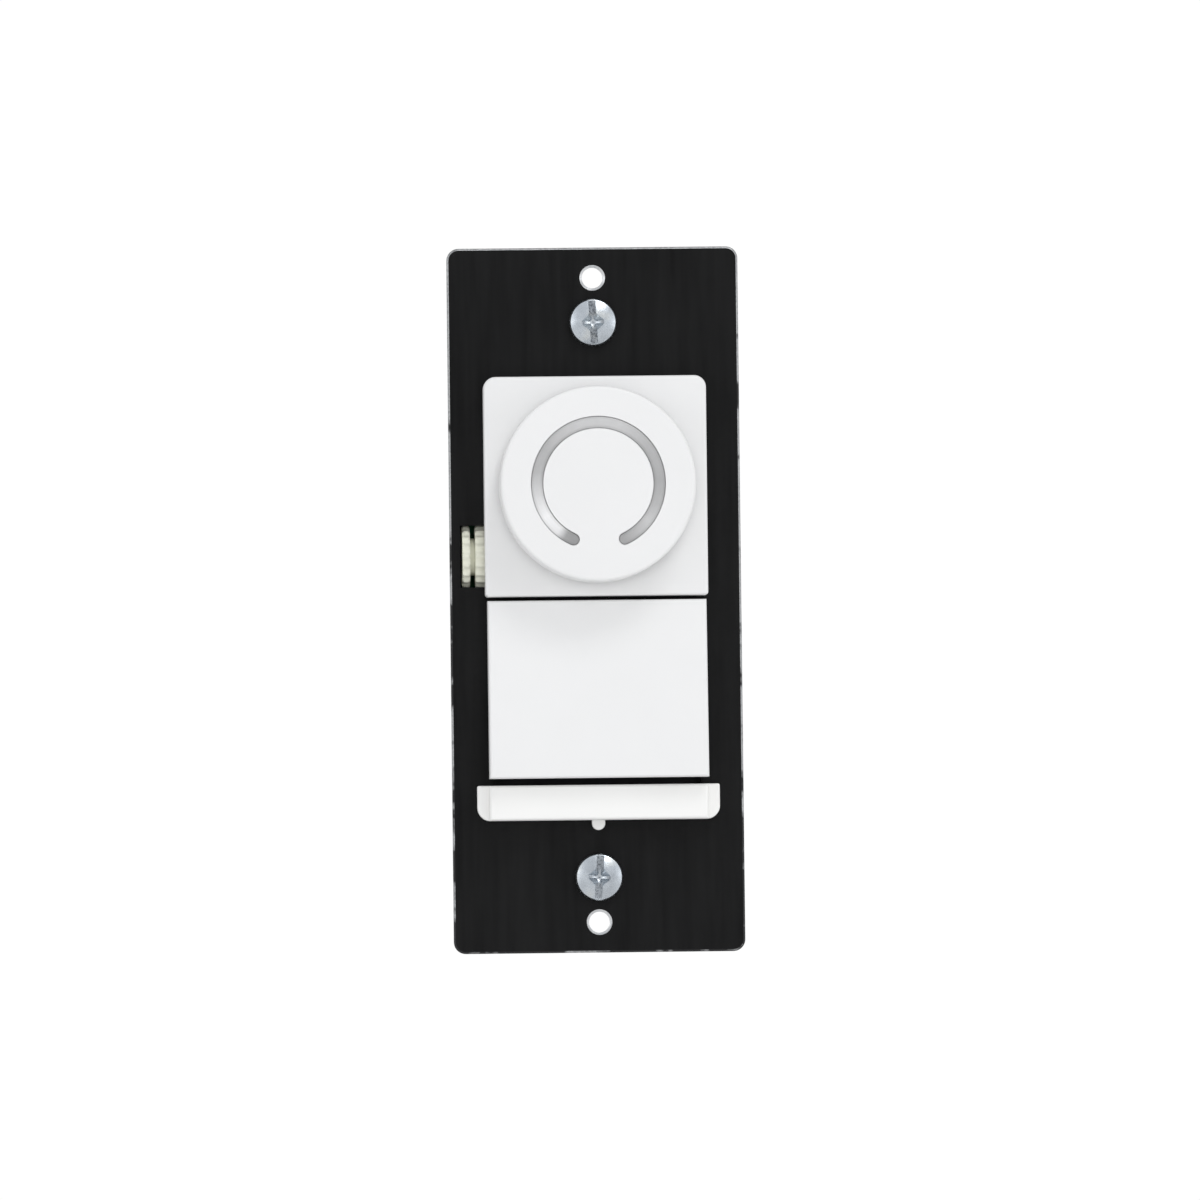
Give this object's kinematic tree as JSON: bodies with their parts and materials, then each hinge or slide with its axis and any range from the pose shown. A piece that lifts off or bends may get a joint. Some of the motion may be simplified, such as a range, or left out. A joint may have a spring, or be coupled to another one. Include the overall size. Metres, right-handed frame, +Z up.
{
  "type": "rotary wall dimmer switch",
  "caption": "Wall dimmer on an aluminium strap: round level knob with a grey arc, white rocker paddle below it, pull-out service bar, trim thumbwheel and rear terminal housing.",
  "frame": {"origin": "centre of the mounting strap's rear face, on the line of the two box screws, where the strap bears on the wall", "axes": "+Z up along the strap, +Y into the wall, +X to the user's right as they look at the front"},
  "size_m": [0.0438, 0.047, 0.106],
  "materials": {
    "white_plastic": "satin moulded white",
    "bar_plastic": "satin moulded, slightly warm white",
    "arc_grey": "smooth translucent grey",
    "black_anodised": "black anodised, bare at sheared edges",
    "cream_plastic": "matt cream",
    "housing_plastic": "fine spark-eroded texture",
    "frame_plastic": "matt moulded",
    "zinc_plate": "bright zinc plate",
    "bright_steel": "bright drawn",
    "brass": "stamped",
    "dark_screw": "black oxide",
    "green_screw": "green dyed zinc",
    "copper": "copper",
    "board_green": "solder mask",
    "black_epoxy": "moulded epoxy",
    "insulator_pad": "silicone pad",
    "capacitor_yellow": "smooth",
    "varistor_blue": "dipped coating",
    "resistor_tan": "lacquered",
    "bobbin_nylon": "natural nylon",
    "fibre": "pressed fibre"
  },
  "bodies": {
    "device": {"heat_sink_strap": "black_anodised", "front_bezel": "white_plastic", "inner_frame": "frame_plastic", "potentiometer_body": "bright_steel", "pot_nut": "zinc_plate", "paddle_pivot_pin": "bright_steel", "return_spring": "bright_steel", "push_switch_body": "black_epoxy", "line_contact": "copper", "load_contact": "copper", "trimmer_body": "varistor_blue", "triac": "black_epoxy", "triac_insulator": "insulator_pad", "triac_screw": "zinc_plate", "circuit_board": "board_green", "choke_bobbin": "bobbin_nylon", "choke_coil": "copper", "film_capacitor": "capacitor_yellow", "snubber_capacitor": "capacitor_yellow", "surge_varistor": "varistor_blue", "snubber_resistor": "resistor_tan", "trigger_diac": "varistor_blue", "rear_housing": "housing_plastic", "housing_screw_1": "zinc_plate", "housing_screw_2": "zinc_plate", "housing_screw_3": "zinc_plate", "housing_screw_4": "zinc_plate", "ground_screw": "green_screw", "box_screw_top": "zinc_plate", "box_screw_bottom": "zinc_plate", "screw_retainer_top": "fibre", "screw_retainer_bottom": "fibre", "common_terminal_plate": "brass", "common_terminal_screw": "dark_screw", "traveller_terminal_a_plate": "brass", "traveller_terminal_a_screw": "brass", "traveller_terminal_b_plate": "brass", "traveller_terminal_b_screw": "brass"},
    "knob": {"dimmer_knob": "white_plastic", "knob_arc_insert": "arc_grey", "pot_shaft": "bright_steel"},
    "paddle": {"paddle": "white_plastic"},
    "plunger": {"switch_plunger": "bobbin_nylon", "push_switch_button": "bar_plastic"},
    "service_pull": {"service_bar": "bar_plastic", "service_contact_bridge": "copper"},
    "trim_wheel": {"trim_wheel": "cream_plastic"}
  },
  "joints": [
    {"name": "knob_turn", "type": "hinge", "parent": "device", "child": "knob", "pos_m": [0, -0.0076, 0.017], "axis": [0, 1, 0], "range_deg": [-140, 140]},
    {"name": "paddle_press", "type": "hinge", "parent": "device", "child": "paddle", "pos_m": [0, -0.0036, -0.0034], "axis": [1, 0, 0], "range_deg": [0, 4], "stiffness_Nm_per_rad": 0.25, "springref_deg": -5.73},
    {"name": "plunger_push", "type": "slide", "parent": "device", "child": "plunger", "axis": [0, 1, 0], "range_m": [0, 0.0013], "deforming": ["return_spring"]},
    {"name": "service_pull_out", "type": "slide", "parent": "device", "child": "service_pull", "axis": [0, -1, 0], "range_m": [0, 0.003]},
    {"name": "trim_turn", "type": "hinge", "parent": "device", "child": "trim_wheel", "pos_m": [-0.0182, 0.002, 0.0067], "axis": [1, 0, 0], "range_deg": [-135, 135]}
  ],
  "couplings": [
    {"joint": "plunger_push", "follows": "paddle_press", "m_per_rad": 0.0166}
  ]
}
